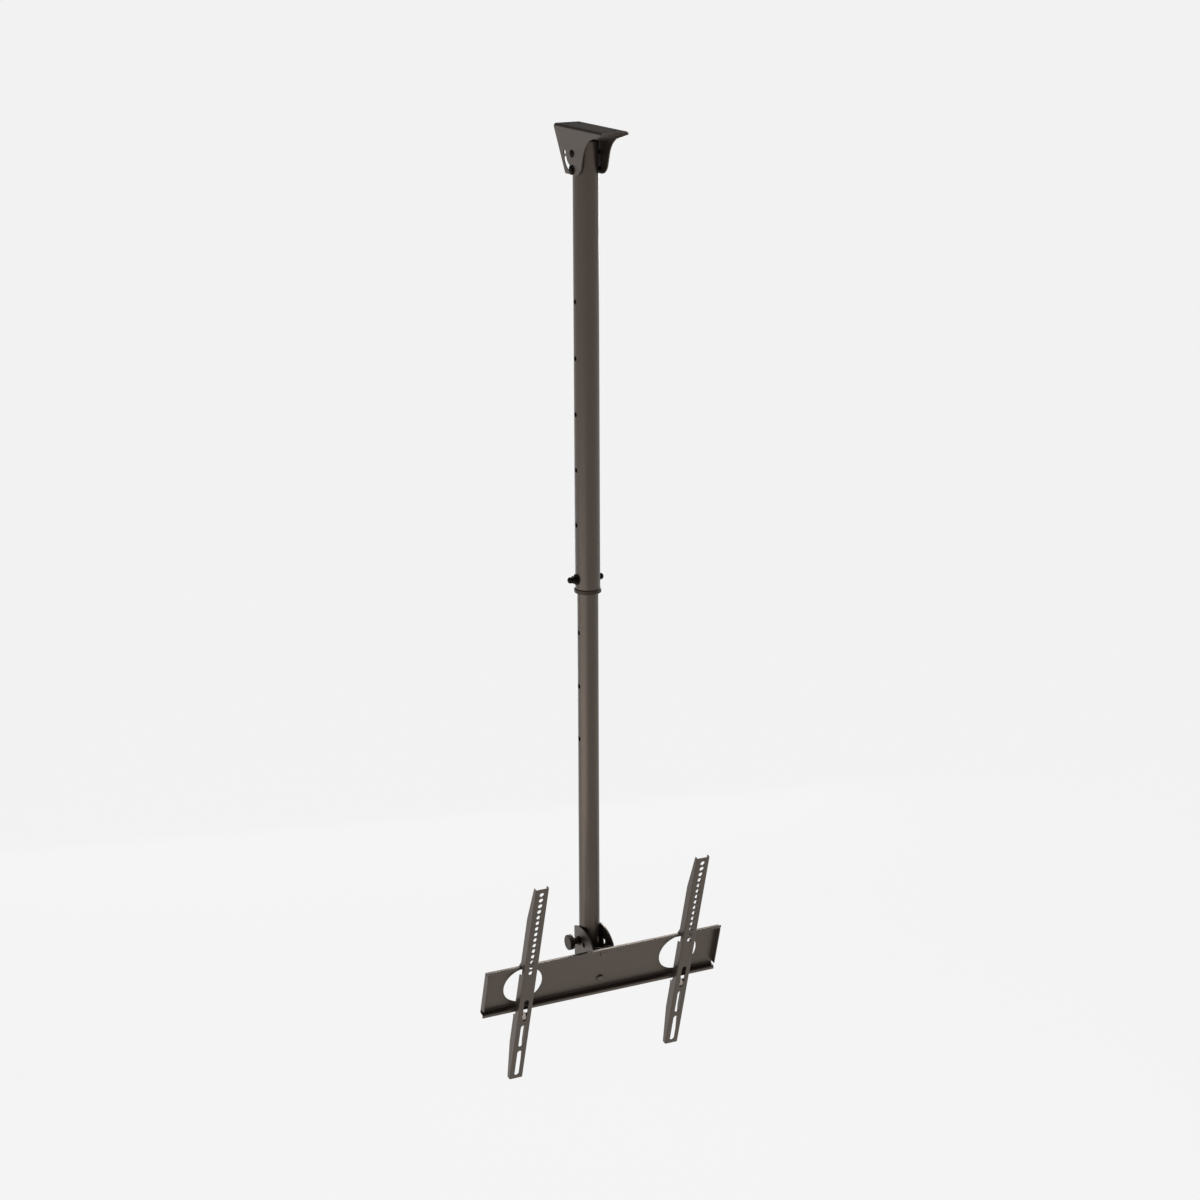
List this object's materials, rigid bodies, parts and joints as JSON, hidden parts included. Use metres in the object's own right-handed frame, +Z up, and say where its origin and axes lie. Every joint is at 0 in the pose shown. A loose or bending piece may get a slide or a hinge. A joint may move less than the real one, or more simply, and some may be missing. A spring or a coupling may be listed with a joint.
{
  "type": "tv ceiling mount",
  "caption": "Ceiling mount for a flat television: folded ceiling bracket, swinging telescopic steel pole and a tilting plate with sliding hook-on arms.",
  "frame": {"origin": "on the pole's axis, in the face that lies against the ceiling", "axes": "+Z up along the pole, -Y towards the screen's viewer, +X to that viewer's right"},
  "size_m": [0.482, 0.2018, 1.7358],
  "materials": {
    "frame_paint": "satin dark grey-brown powder coat on steel",
    "black_hardware": "black plated steel fasteners",
    "moulded_plastic": "fine-grained dark moulded plastic"
  },
  "bodies": {
    "ceiling": {"ceiling_bracket": "frame_paint"},
    "pole": {"outer_tube": "frame_paint", "tube_collar": "moulded_plastic", "pivot_bolt": "black_hardware", "pivot_nut": "black_hardware", "pivot_washer": "black_hardware", "lock_bolt": "black_hardware", "lock_nut": "black_hardware", "lock_washers": "black_hardware", "height_bolt": "black_hardware", "height_nut": "black_hardware", "height_washer": "black_hardware"},
    "lower_pole": {"inner_tube": "frame_paint", "guide_bush": "moulded_plastic", "tube_plug": "moulded_plastic"},
    "head": {"tilt_bracket": "frame_paint", "tv_plate": "frame_paint", "plate_bolts": "black_hardware", "plate_nuts": "black_hardware", "tilt_bolt": "black_hardware", "tilt_washers": "black_hardware"},
    "knob": {"tilt_knob": "moulded_plastic"},
    "left_arm": {"arm_left": "frame_paint", "lock_ledge_left": "frame_paint", "lock_screw_left": "black_hardware"},
    "right_arm": {"arm_right": "frame_paint", "lock_ledge_right": "frame_paint", "lock_screw_right": "black_hardware"}
  },
  "joints": [
    {"name": "pole_swing", "type": "hinge", "parent": "ceiling", "child": "pole", "pos_m": [0, 0, -0.046], "axis": [1, 0, 0], "range_deg": [0, 65]},
    {"name": "height_slide", "type": "slide", "parent": "pole", "child": "lower_pole", "axis": [0, 0, 1], "range_m": [-0.3, 0.3]},
    {"name": "tv_tilt", "type": "hinge", "parent": "lower_pole", "child": "head", "pos_m": [0, 0, -1.495], "axis": [1, 0, 0], "range_deg": [-16, 4]},
    {"name": "knob_turn", "type": "hinge", "parent": "head", "child": "knob", "pos_m": [0, 0, -1.495], "axis": [1, 0, 0], "continuous": true},
    {"name": "arm_left_slide", "type": "slide", "parent": "head", "child": "left_arm", "axis": [1, 0, 0], "range_m": [-0.063, 0.112]},
    {"name": "arm_right_slide", "type": "slide", "parent": "head", "child": "right_arm", "axis": [1, 0, 0], "range_m": [-0.116, 0.059]}
  ]
}
